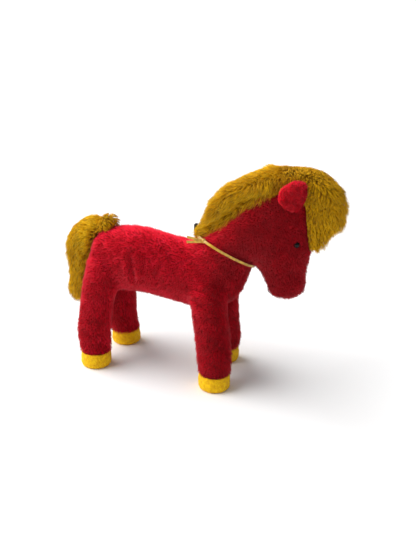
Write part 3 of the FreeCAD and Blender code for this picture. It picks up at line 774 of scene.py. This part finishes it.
@dataclass
class StuffedBody:
    """The sewn skin, swollen by its filling, and the red coat that grows on it."""

    leg_end: float = 22.6 * MM
    voxel: float = 3.0 * MM
    start_inset: float = 4.6 * MM
    final_inset: float = 3.3 * MM
    pressure: float = 4.0
    swell_cap: float = 2.6 * MM
    fibre_length: float = 5.4 * MM
    fibre_thickness: float = 0.56 * MM  # a real fibre is a few hundredths, so these are coarse
    fibre_density: float = 1.6e6
    lock: float = 2.8 * MM
    pull: float = 0.5
    eye_clear: float = 2.3 * MM
    bead_ahead: float = 2.0 * MM
    root_depth: float = 0.6 * MM
    leg_top: float = 105 * MM
    fore_hind_split: float = -50 * MM
    rump_front: float = -55 * MM
    neck_start: tuple[float, float] = (18 * MM, 130 * MM)
    head_start: tuple[float, float] = (88 * MM, 110 * MM)
    filling_voxel: float = 3.5 * MM
    filling_inset: float = 3.0 * MM
    filling_depth: float = 1.6 * MM
    fill: float = 0.88
    skin: bpy.types.Object = field(init=False)

    def sewn(self) -> None:
        """Make the skin from copies of the panels, filled by copies of the stuffing.

        The skin is inset from the pile's level, swollen, creased and dressed.
        """
        skin = copied_nodes("plush_skin", PANELS + FILLINGS, self.leg_end)
        remeshed(skin, self.voxel)
        relaxed(skin, 4)
        surface = Surface.of(skin)
        way = surface.normals.copy()
        way[:, 2] *= np.clip((surface.points[:, 2] - self.leg_end) / (8 * MM), 0, 1)
        moved_points(skin, surface.points - way * self.start_inset)
        self.swollen(skin)
        rested = Surface.of(skin)
        gain = 0.0
        moved_points(skin, rested.points + rested.normals * gain)
        refined(skin)
        self.creased(skin)
        dress(skin, RED_KNIT.material())
        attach(skin, "toy")
        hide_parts(*PANELS)
        self.skin = skin

    def creased(self, skin: bpy.types.Object) -> None:
        """Press the sewn-in folds in, on both flanks.

        Formula: a point sinks along its normal by the depth times exp(-(d / width) squared),
        where d is its distance from the fold's line, and rises by a share of the depth at about
        two widths from it.

        Args:
            skin: the refined skin.
        """
        surface = Surface.of(skin)
        sink = np.zeros(len(surface.points))
        for fold in FOLDS:
            for side in Side:
                line = np.array(fold.line) * MM * (1, -side.value, 1)
                away = distance_to_path(surface.points, line) / (fold.width * MM)
                sink += fold.depth * MM * (np.exp(-away ** 2) - 0.3 * np.exp(-(away - 2) ** 2))
        moved_points(skin, surface.points - surface.normals * sink[:, None])

    def swollen(self, skin: bpy.types.Object) -> None:
        """Swell the skin as cloth under pressure, and hold each point within the cap.

        The swell is slight: it moves this skin by about 0.02 mm on average and 0.3 mm at most.
        The inset and the folds give the body nearly all of its shape, and the last line brings
        the skin to its level.

        Args:
            skin: the inset skin.
        """
        start = Surface.of(skin)
        held = skin.vertex_groups.new(name="held")
        low = np.nonzero(start.points[:, 2] < self.leg_end + 4 * MM)[0]
        seam = np.nonzero((np.abs(start.points[:, 1]) < 2 * MM) & (start.points[:, 2] > 0.15))[0]
        held.add(low.tolist(), 1.0, "REPLACE")
        held.add(seam.tolist(), 0.6, "REPLACE")
        step = skin.modifiers.new("Swell", "CLOTH")
        cloth = step.settings
        cloth.quality = 5
        cloth.mass = 0.3
        cloth.tension_stiffness = cloth.compression_stiffness = 12
        cloth.bending_stiffness = 0.4
        cloth.use_pressure = True
        cloth.uniform_pressure_force = self.pressure
        cloth.effector_weights.gravity = 0
        cloth.vertex_group_mass = held.name
        step.point_cache.frame_start, step.point_cache.frame_end = 1, 20
        scene = bpy.context.scene
        for number in range(1, 21):
            scene.frame_set(number)
        applied(skin)
        scene.frame_set(1)
        end = Surface.of(skin)
        move = end.points - start.points
        length = np.linalg.norm(move, axis=1, keepdims=True)
        move *= np.minimum(1.0, self.swell_cap / np.maximum(length, 1e-9))
        log.info("swell: mean %.2f mm, most %.2f mm", length.mean() * 1000, length.max() * 1000)
        mean_gain = (move * start.normals).sum(1).mean()
        target = self.start_inset - self.final_inset
        moved_points(skin, start.points + move + start.normals * (target - mean_gain))

    def combed(self, roots: np.ndarray) -> np.ndarray:
        """Give the coat's lie: down the legs and flanks, back along the barrel, down the face.

        Args:
            roots: rows of x, y, z.

        Returns:
            One direction per root.
        """
        head = np.clip((roots[:, :1] - 0.085) / 0.03, 0, 1)
        leg = np.clip((0.115 - roots[:, 2:]) / 0.03, 0, 1)
        body = np.array([-0.62, 0, -0.78]) * (1 - leg) + np.array([-0.05, 0, -1.0]) * leg
        face = np.array([0.28, 0, -0.96])
        return body * (1 - head) + face * head

    def part_of(self, roots: np.ndarray) -> np.ndarray:
        """Say which part of the coat each root is in.

        Args:
            roots: rows of x, y, z.

        Returns:
            The place of the part in Coat, per root.
        """
        order = list(Coat)
        part = np.full(len(roots), order.index(Coat.BARREL))
        part[roots[:, 0] < self.rump_front] = order.index(Coat.RUMP)
        for start, name in ((self.neck_start, Coat.NECK), (self.head_start, Coat.HEAD)):
            part[(roots[:, 0] > start[0]) & (roots[:, 2] > start[1])] = order.index(name)
        low = roots[:, 2] < self.leg_top
        fore = roots[:, 0] > self.fore_hind_split
        part[low & fore] = order.index(Coat.FORE_LEGS)
        part[low & ~fore] = order.index(Coat.HIND_LEGS)
        return part

    def kept_inside(self, points: np.ndarray, cover: BVHTree) -> np.ndarray:
        """Push any point of the stuffing that comes near the skin back under it.

        Args:
            points: rows of x, y, z.
            cover: the skin's triangles.

        Returns:
            The points, each at least the least depth under the skin.
        """
        kept = points.copy()
        for number, point in enumerate(points):
            spot, normal, _, _ = cover.find_nearest(Vector(point))
            if (spot - Vector(point)).dot(normal) < self.filling_depth:
                kept[number] = spot - normal * self.filling_depth
        return kept

    def filled(self) -> None:
        """Make each lump of stuffing from a copy of its CAD solid, a little smaller and softer.

        Formula: the copy is drawn in along its normals, so that the folds of the skin clear it,
        and its face is roughened by two ripples, as torn fibrefill is.
        """
        finish = STUFFING.material()
        skin = Surface.of(self.skin)
        cover = BVHTree.FromPolygons(skin.points.tolist(), skin.triangles.tolist())
        for number, node in enumerate(FILLINGS):
            lump = copied_nodes(node.replace("stuffing", "filling"), [node], self.leg_end - 18 * MM)
            remeshed(lump, self.filling_voxel)
            relaxed(lump, 3)
            surface = Surface.of(lump)
            rough = ripple(surface.points, 16 * MM, 700 + number) + 0.6 * ripple(surface.points, 7 * MM, 720)
            draw = self.filling_inset - 0.5 * MM * rough
            points = surface.points - surface.normals * draw[:, None]
            moved_points(lump, self.kept_inside(points, cover))
            dress(lump, finish)
            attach(lump, "toy")
            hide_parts(node)

    def coat(self) -> None:
        """Grow the red pile on the skin, leaving the eyes and the undersides of the leg ends free."""
        rng = np.random.default_rng(11)
        roots, normals = Surface.of(self.skin).scattered(self.fibre_density, rng)
        keep = np.ones(len(roots), bool)
        for side in Side:
            low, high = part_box("eye_" + side.word)
            bead = (np.array(low) + np.array(high)) / 2 + (self.bead_ahead, 0, 0)
            keep &= np.linalg.norm(roots - bead, axis=1) > self.eye_clear
        keep &= ~((normals[:, 2] < -0.75) & (roots[:, 2] < self.leg_end + 3 * MM))
        roots, normals = roots[keep], normals[keep]
        lie = flattened(self.combed(roots) + rng.normal(scale=0.22, size=roots.shape), normals)
        swirl = ripple(roots, 14 * MM, 5)[:, None] * 0.35
        lie = unit(lie + np.cross(normals, lie) * swirl)
        lean = np.radians(46 + 12 * ripple(roots, 9 * MM, 6) + rng.normal(scale=7, size=len(roots)))
        length = self.fibre_length * (1 + 0.14 * rng.normal(size=len(roots)))
        way = normals * np.cos(lean)[:, None] + lie * np.sin(lean)[:, None]
        tips = roots + way * length[:, None]
        tips = clumped(tips, roots, self.lock, self.pull, 21)
        locks = clumped(rng.normal(size=(len(roots), 3)), roots, self.lock, 1.0, 21)[:, 0]
        tone = 0.5 + 0.15 * ripple(roots, 22 * MM, 7) + 0.22 * locks + 0.12 * rng.normal(size=len(roots))
        # Painted light and shade in the tone: lighter where the pile faces up towards the light, and darker
        # over the neck and head, which lie in shade.
        tone += 0.2 * np.clip(normals[:, 2], 0, 1) - 0.5 * np.clip((roots[:, 0] - 0.02) / 0.05, 0, 1)
        parts = self.part_of(roots)
        finish = RED_PILE.material()
        fibres = Fibres(self.fibre_thickness)
        stations = np.stack([roots - normals * self.root_depth, tips], 1)
        for place, part in enumerate(Coat):
            mine = parts == place
            piece = fibres.built("pile_" + part.value, stations[mine], tone[mine])
            dress(piece, finish)
            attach(piece, "toy")
            log.info("%s: %d fibres", piece.name, mine.sum())


# ---------------------------------------------------------------------------
# Mane and tail
# ---------------------------------------------------------------------------

@dataclass
class LongFur:
    """A roll of long gold fur: a core in darker brown-gold, painted shade for the depth of the fur, and
    curved fibres that reach the roll's full size.
    """

    node: str
    body: str
    core_name: str
    core_inset: float
    under_inset: float
    under_line: np.ndarray
    voxel: float
    length: float
    thickness: float
    density: float
    lock: float
    pull: float
    outward: float
    bend: float
    # Base tone of the fibres; the tail's is set higher than the mane's as painted light, where more light
    # falls on the same gold fur.
    shade: float
    seed: int
    core: bpy.types.Object = field(init=False)

    def cored(self) -> None:
        """Make the core from a copy of the CAD roll, pulled in on all sides."""
        core = copied_nodes(self.core_name, [self.node])
        remeshed(core, self.voxel)
        relaxed(core, 4)
        for _ in range(4):
            surface = Surface.of(core)
            facing = (surface.normals * self.away(surface.points)).sum(1)
            share = np.clip((facing + 0.5) / 0.7, 0, 1)[:, None]
            inset = self.under_inset + (self.core_inset - self.under_inset) * share
            inset = inset * self.drawn(surface.points)[:, None]
            moved_points(core, surface.points - surface.normals * inset / 4)
            relaxed(core, 1)
        # The core's darker brown-gold is painted shade for the depth of the fur.
        dress(core, FUR_CORE_PAINTED_SHADE.material())
        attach(core, self.body)
        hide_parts(self.node)
        self.core = core

    def away(self, points: np.ndarray) -> np.ndarray:
        """Point away from the body that the roll lies on.

        Formula: from the nearest point of the line inside the body to the given point.

        Args:
            points: rows of x, y, z.

        Returns:
            One direction per point.
        """
        best = np.full(len(points), np.inf)
        way = np.zeros_like(points)
        for start, end in zip(self.under_line[:-1], self.under_line[1:]):
            stretch = end - start
            share = np.clip((points - start) @ stretch / (stretch @ stretch), 0, 1)
            gap = points - (start + share[:, None] * stretch)
            length = np.linalg.norm(gap, axis=1)
            nearer = length < best
            best[nearer], way[nearer] = length[nearer], gap[nearer]
        return unit(way)

    def drawn(self, points: np.ndarray) -> np.ndarray:
        """Give the share of the inset that the core is drawn in by: all of it by default."""
        return np.ones(len(points))

    def lie(self, roots: np.ndarray) -> np.ndarray:
        """Give the way the fibres are brushed; each kind of fur has its own."""
        raise NotImplementedError

    def trimmed(self, roots: np.ndarray, normals: np.ndarray) -> np.ndarray:
        """Give each fibre's share of the full length: all of it by default.

        Args:
            roots: rows of x, y, z.
            normals: the core's normals there; not used by this default.

        Returns:
            One share per fibre.
        """
        return np.ones(len(roots))

    def cut(self, roots: np.ndarray) -> np.ndarray:
        """Give the pieces' numbers that share the fibres out, all in one piece by default."""
        return np.zeros(len(roots), int)

    def grown(self, names: list[str]) -> None:
        """Grow the fibres.

        Formula: a fibre leaves its root between the normal and the brushed way, and bends
        further to the brushed way with the square of the share of its length; locks draw
        together more towards the tips.

        Args:
            names: the names of the pieces.
        """
        rng = np.random.default_rng(self.seed)
        roots, normals = Surface.of(self.core).scattered(self.density, rng)
        lie = self.lie(roots) + rng.normal(scale=0.16, size=roots.shape)
        lie = lie + 0.35 * np.stack([ripple(roots, 16 * MM, self.seed + i) for i in range(3)], 1)
        lie = unit(lie)
        start = unit(normals * self.outward + lie * (1 - self.outward))
        length = self.length * np.clip(1 + 0.13 * rng.normal(size=(len(roots), 1)), 0.6, 1.35)
        length = length * self.trimmed(roots, normals)[:, None]
        steps = np.linspace(0, 1, 3)
        stations = [
            roots - normals * 1.0 * MM * (step == 0)
            + start * length * step + (lie - start) * length * self.bend * step ** 2
            for step in steps
        ]
        for k in range(1, 3):
            stations[k] = clumped(stations[k], roots, self.lock, self.pull * steps[k], self.seed + 40)
        locks = clumped(rng.normal(size=(len(roots), 3)), roots, self.lock, 1.0, self.seed + 40)[:, 0]
        # The base tone carries painted light: the tail's is higher than the mane's.
        tone = self.shade + 0.14 * ripple(roots, 26 * MM, self.seed + 9) + 0.2 * locks
        tone = np.clip(tone + 0.1 * rng.normal(size=len(roots)), 0, 0.77)
        guard = rng.random(len(roots)) < 0.22
        tone[guard] = 0.8 + 0.18 * rng.random(guard.sum())
        finish = GOLD_FUR.material()
        fibres = Fibres(self.thickness)
        owner = self.cut(roots)
        all_stations = np.stack(stations, 1)
        for number, name in enumerate(names):
            mine = owner == number
            piece = fibres.built(name, all_stations[mine], tone[mine])
            dress(piece, finish)
            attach(piece, self.body)
            log.info("%s: %d fibres", name, mine.sum())


@dataclass
class Mane(LongFur):
    """The mane over the crest and poll, ending in the forelock."""

    node: str = "mane_fur"
    body: str = "toy"
    core_name: str = "mane_core"
    core_inset: float = 7.5 * MM
    under_inset: float = -3.0 * MM
    under_line: np.ndarray = field(default_factory=lambda: np.array([
        (0.010, 0, 0.160), (0.060, 0, 0.205), (0.095, 0, 0.238), (0.114, 0, 0.225), (0.124, 0, 0.190),
    ]))
    voxel: float = 2.5 * MM
    length: float = 14.5 * MM
    thickness: float = 0.56 * MM  # a real fibre is a few hundredths, so these are coarse
    density: float = 1.35e6
    lock: float = 3.4 * MM
    pull: float = 0.42
    outward: float = 0.72
    bend: float = 0.42
    shade: float = 0.38
    seed: int = 300

    def drawn(self, points: np.ndarray) -> np.ndarray:
        """Draw the core in further along the crest, where the roll is thinner.

        Args:
            points: rows of x, y, z.

        Returns:
            One share per point.
        """
        return 1 + 0.6 * np.exp(-((points[:, 0] - 0.058) / 0.028) ** 2)

    def lie(self, roots: np.ndarray) -> np.ndarray:
        """Brush the mane back along the crest and down the forelock.

        Args:
            roots: rows of x, y, z.

        Returns:
            One direction per root.
        """
        front = np.clip((roots[:, :1] - 0.10) / 0.03, 0, 1)
        beside = np.clip((np.abs(roots[:, 1:2]) - 0.009) / 0.008, 0, 1) * (1 - front)
        back = np.array([-0.80, 0, -0.25])
        down = np.array([0.30, 0, -0.85])
        droop = np.array([0.55, 0, -0.80])
        return unit((back * (1 - beside) + droop * beside) * (1 - front) + down * front)

    def trimmed(self, roots: np.ndarray, normals: np.ndarray) -> np.ndarray:
        """Shorten the fibres at the withers, where the tape's end shows, and beside the eyes.

        Args:
            roots: rows of x, y, z.
            normals: the core's normals there.

        Returns:
            One share per fibre.
        """
        start = np.clip((roots[:, 0] + 0.012) / 0.03, 0, 1)
        front = np.clip((roots[:, 0] - 0.095) / 0.02, 0, 1)
        facing = (normals * self.away(roots)).sum(1)
        beside = front * np.clip(1 - facing, 0, 1)
        outer = 1 + (0.4 * front - 0.25) * np.clip((facing - 0.5) / 0.3, 0, 1)
        draped = 1 + 0.35 * (1 - front) * np.clip(0.6 - facing, 0, 1)
        return (0.62 + 0.38 * start) * outer * draped * (1 - 0.6 * beside)

    def cut(self, roots: np.ndarray) -> np.ndarray:
        """Share the fibres between the crest, the poll and the forelock."""
        return (roots[:, 0] > 0.045).astype(int) + (roots[:, 0] > 0.112).astype(int)


@dataclass
class Tail(LongFur):
    """The tail: an arch of fur over the rump that hangs to the hocks."""

    node: str = "tail_fur"
    body: str = "tail"
    core_name: str = "tail_core"
    core_inset: float = 6.0 * MM
    under_inset: float = 1.0 * MM
    under_line: np.ndarray = field(default_factory=lambda: np.array([
        (-0.090, 0, 0.175), (-0.110, 0, 0.160), (-0.118, 0, 0.120), (-0.118, 0, 0.060),
    ]))
    voxel: float = 2.2 * MM
    length: float = 14.5 * MM
    thickness: float = 0.58 * MM
    density: float = 1.3e6
    lock: float = 3.4 * MM
    pull: float = 0.42
    outward: float = 0.72
    bend: float = 0.42
    # Painted light: the tail's base tone is raised above the mane's, as the tail is the better lit.
    shade: float = 0.72
    seed: int = 500

    def drawn(self, points: np.ndarray) -> np.ndarray:
        """Keep the core full where it meets the rump.

        Args:
            points: rows of x, y, z.

        Returns:
            One share per point.
        """
        return 1 - np.clip((points[:, 0] + 0.140) / 0.012, 0, 1) * (points[:, 2] > 0.17)

    def lie(self, roots: np.ndarray) -> np.ndarray:
        """Brush the tail back over its arch and down where it hangs.

        Args:
            roots: rows of x, y, z.

        Returns:
            One direction per root.
        """
        hang = np.clip((-0.150 - roots[:, :1]) / 0.02, 0, 1)
        start = np.clip((roots[:, :1] + 0.140) / 0.010, 0, 1) * (roots[:, 2:] > 0.175)
        over = np.array([-0.95, 0, 0.0])
        down = np.array([-0.05, 0, -1.0])
        forward = np.array([0.6, 0, -0.8])
        return unit((over * (1 - hang) + down * hang) * (1 - start) + forward * start)


# ---------------------------------------------------------------------------
# Ears and hooves
# ---------------------------------------------------------------------------

@dataclass
class Ear:
    """One small stuffed ear with a dimpled front, on its own fold."""

    side: Side
    voxel: float = 1.3 * MM
    inset: float = 2.2 * MM
    dimple_reach: float = 14.0 * MM
    dimple_radius: float = 6.0 * MM
    dimple_depth: float = 3.0 * MM
    spread: float = 0.5
    squash: float = 4.0 * MM
    fibre_length: float = 3.6 * MM
    fibre_thickness: float = 0.5 * MM
    fibre_density: float = 2.2e6
    lock: float = 2.2 * MM
    pull: float = 0.5
    root_depth: float = 0.5 * MM
    fill: float = 0.5

    def built(self) -> None:
        """Make the ear's skin and its pile."""
        word = self.side.word
        nodes = ["ear_back_" + word, "ear_lining_" + word]
        skin = copied_nodes("ear_skin_" + word, nodes)
        remeshed(skin, self.voxel)
        relaxed(skin, 5)
        surface = Surface.of(skin)
        points = surface.points - surface.normals * self.inset
        low, top = points[:, 2].min(), points[:, 2].max()
        share = (points[:, 2:] - low) / (top - low)
        lines = [np.polyfit(points[:, 2], points[:, k], 1) for k in (0, 1)]
        middle = np.stack([np.polyval(line, points[:, 2]) for line in lines], 1)
        points[:, :2] += (points[:, :2] - middle) * self.spread * share ** 2
        points[:, 2] -= self.squash * share[:, 0] ** 3
        top = points[:, 2].max()
        front = points[points[:, 2] > top - self.dimple_reach]
        bowl = front[front[:, 0].argmax()] + np.array([0, self.side.value * 1.5 * MM, -1 * MM])
        near = np.exp(-(np.linalg.norm(points - bowl, axis=1) / self.dimple_radius) ** 2)
        points[:, 0] -= self.dimple_depth * near
        moved_points(skin, points)
        dress(skin, EAR_KNIT.material())
        body = "ear_" + word
        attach(skin, body)
        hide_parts(*nodes)
        rng = np.random.default_rng(70 + self.side.value)
        roots, normals = Surface.of(skin).scattered(self.fibre_density, rng)
        lie = flattened(np.array([0.25, 0, 0.9]) + rng.normal(scale=0.3, size=roots.shape), normals)
        lean = np.radians(42 + rng.normal(scale=9, size=(len(roots), 1)))
        length = self.fibre_length * (1 + 0.14 * rng.normal(size=(len(roots), 1)))
        tips = roots + (normals * np.cos(lean) + lie * np.sin(lean)) * length
        tips = clumped(tips, roots, self.lock, self.pull, 90)
        tone = 0.55 + 0.2 * ripple(roots, 8 * MM, 91) + 0.14 * rng.normal(size=len(roots))
        stations = np.stack([roots - normals * self.root_depth, tips], 1)
        pile = Fibres(self.fibre_thickness).built("ear_pile_" + word, stations, tone)
        dress(pile, RED_PILE.material())
        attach(pile, body)
        log.info("ear %s: %d fibres", word, len(roots))


@dataclass
class Hoof:
    """One velour hoof, a soft cup that bulges a little over its board."""

    end: str
    side: Side
    voxel: float = 1.4 * MM
    nap: float = 0.28 * MM
    pucker: float = 0.5 * MM
    inset: float = 0.25 * MM
    turned_edge: float = 4.0 * MM
    fill: float = 0.92

    def built(self) -> None:
        """Make the cup's soft skin over the CAD cup, and dress the sole."""
        word = self.end + "_" + self.side.word
        cup = copied_nodes("hoof_velour_" + word, ["hoof_cup_" + word])
        remeshed(cup, self.voxel)
        relaxed(cup, 2)
        surface = Surface.of(cup)
        points = surface.points
        raised = self.nap * ripple(points, 2.6 * MM, 801) + self.pucker * ripple(points, 9 * MM, 802)
        low = np.clip(points[:, 2] / self.turned_edge, 0, 1)
        points = points + surface.normals * (raised * low - self.inset)[:, None]
        points[:, 2] = np.maximum(points[:, 2], 0.0)
        moved_points(cup, points)
        dress(cup, GOLD_VELOUR.material())
        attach(cup, "toy")
        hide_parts("hoof_cup_" + word)
        dress(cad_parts["hoof_sole_" + word], GOLD_VELOUR.material())


@dataclass
class SmallParts:
    """The CAD nodes that keep their own shape, each with its finish."""

    finishes: dict[str, Any] = field(default_factory=lambda: {
        "eye_washer": WASHER,
        "eye_": EYE_BEAD,
        "ribbon": GOLD_SATIN,
        "mouth_stitch": RED_THREAD,
        "tail_knot": RED_THREAD,
        "tail_backing": FUR_BACKING,
        "mane_tape": BLACK_TAPE,
        "sole_board": SOLE_BOARD,
    })

    def dressed(self) -> None:
        """Give each node the first finish whose word begins its name."""
        for name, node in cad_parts.items():
            word = next((w for w in self.finishes if name.startswith(w)), None)
            if word is not None:
                dress(node, self.finishes[word].material())
                node.data.shade_smooth()
                log.info("dressed %s", name)


# ---------------------------------------------------------------------------
# Studio
# ---------------------------------------------------------------------------

@dataclass
class Studio:
    """Pale floor, soft light and the camera."""

    azimuth: float = 22.69
    elevation: float = 20.78
    distance: float = 1.0013
    target: tuple[float, float, float] = (-0.0232, 0.0, 0.130)
    lens: float = 48.32
    shift: float = 0.0523
    floor_size: float = 400.0
    floor_shade: str = "#fbfbfb"
    surround: float = 0.31
    key_strength: float = 4.2
    key_softness: float = 68.0
    key_from: tuple[float, float, float] = (-0.82, -0.12, 0.88)

    def camera(self) -> None:
        """Stand the camera off the target along its azimuth and elevation, looking at it."""
        a, e = math.radians(self.azimuth), math.radians(self.elevation)
        back = Vector((math.sin(a) * math.cos(e), -math.cos(a) * math.cos(e), math.sin(e)))
        eye = bpy.data.cameras.new("camera")
        eye.lens = self.lens
        eye.shift_x = self.shift
        thing = bpy.data.objects.new("camera", eye)
        bpy.context.scene.collection.objects.link(thing)
        thing.rotation_mode = "QUATERNION"
        thing.location = Vector(self.target) + back * self.distance
        thing.rotation_quaternion = (-back).to_track_quat("-Z", "Y")
        bpy.context.scene.camera = thing

    def floor(self) -> None:
        """Lay the floor under the hooves."""
        half = self.floor_size / 2
        points = np.array([(-half, -half, 0), (half, -half, 0), (half, half, 0), (-half, half, 0)], float)
        floor = made_object("floor", points, np.array([(0, 1, 2), (0, 2, 3)]))
        material, tree = new_material("Paper backdrop matt white")
        shader = add(
            tree, "ShaderNodeBsdfPrincipled",
            {"Base Color": linear(self.floor_shade), "Roughness": 0.9, "Specular IOR Level": 0.1}, {},
        )
        closed_with(tree, shader)
        dress(floor, material)

    def lit(self) -> None:
        """Set the bright surround and one large soft key light, high and to the left."""
        world = bpy.data.worlds.new("surround")
        world.use_nodes = True
        tree = world.node_tree
        tree.nodes.clear()
        light = add(
            tree, "ShaderNodeBackground", {"Color": (1.0, 1.0, 1.0, 1.0), "Strength": self.surround}, {}
        )
        add(tree, "ShaderNodeOutputWorld", {}, {"Surface": light.outputs[0]})
        bpy.context.scene.world = world
        key = bpy.data.lights.new("key light", "SUN")
        key.energy = self.key_strength
        key.angle = math.radians(self.key_softness)
        thing = bpy.data.objects.new("key light", key)
        bpy.context.scene.collection.objects.link(thing)
        thing.rotation_mode = "QUATERNION"
        thing.rotation_quaternion = Vector(self.key_from).to_track_quat("Z", "Y")
        bpy.context.scene.view_settings.view_transform = "Standard"


def main() -> None:
    """Build the horse piece by piece, then the studio."""
    body = StuffedBody()
    body.sewn()
    body.filled()
    body.coat()
    mane = Mane()
    mane.cored()
    mane.grown(["mane_strands_crest", "mane_strands_poll", "mane_strands_forelock"])
    tail = Tail()
    tail.cored()
    tail.grown(["tail_strands"])
    for side in Side:
        Ear(side).built()
        for end in ("front", "rear"):
            Hoof(end, side).built()
    SmallParts().dressed()
    studio = Studio()
    studio.floor()
    studio.lit()
    studio.camera()


if __name__ == "__main__":
    main()
